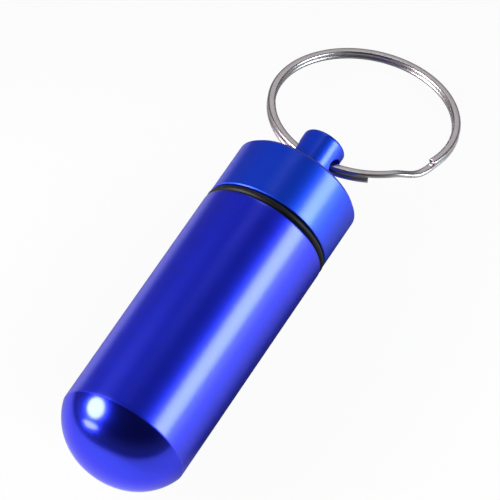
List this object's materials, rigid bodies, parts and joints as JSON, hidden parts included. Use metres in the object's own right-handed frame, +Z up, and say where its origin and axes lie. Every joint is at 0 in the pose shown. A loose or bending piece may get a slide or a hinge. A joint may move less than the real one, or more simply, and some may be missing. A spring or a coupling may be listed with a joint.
{
  "type": "pill fob",
  "caption": "Screw-capped cylindrical metal pill vial with a domed foot, a rubber sealing ring, and a pierced cap knob that carries a split key ring.",
  "frame": {"origin": "on the table that the fob lies on, under the middle of its rest bounding box", "axes": "+X along the fob's axis from the domed foot to the split ring, +Z up from the table"},
  "size_m": [0.0741, 0.0248, 0.017],
  "materials": {
    "anodised_vial": "satin blue anodised",
    "anodised_cap": "satin blue anodised",
    "seal_rubber": "smooth black rubber",
    "ring_steel": "bright nickel plated steel"
  },
  "bodies": {
    "vial": {"vial_body": "anodised_vial"},
    "seal": {"o_ring": "seal_rubber"},
    "cap": {"cap": "anodised_cap"},
    "ring": {"split_ring": "ring_steel"}
  },
  "joints": [
    {"name": "cap_turn", "type": "hinge", "parent": "vial", "child": "seal", "pos_m": [0.00113, 0.00079, 0.0085], "axis": [1, 0, 0], "range_deg": [0, 1980]},
    {"name": "cap_lift", "type": "slide", "parent": "seal", "child": "cap", "axis": [1, 0, 0], "range_m": [0, 0.0055]},
    {"name": "ring_swing", "type": "hinge", "parent": "cap", "child": "ring", "pos_m": [0.01389, 0.00079, 0.0085], "axis": [0, -1, 0], "range_deg": [-116, 154]}
  ],
  "couplings": [
    {"joint": "cap_lift", "follows": "cap_turn", "m_per_rad": 0.00015915}
  ]
}
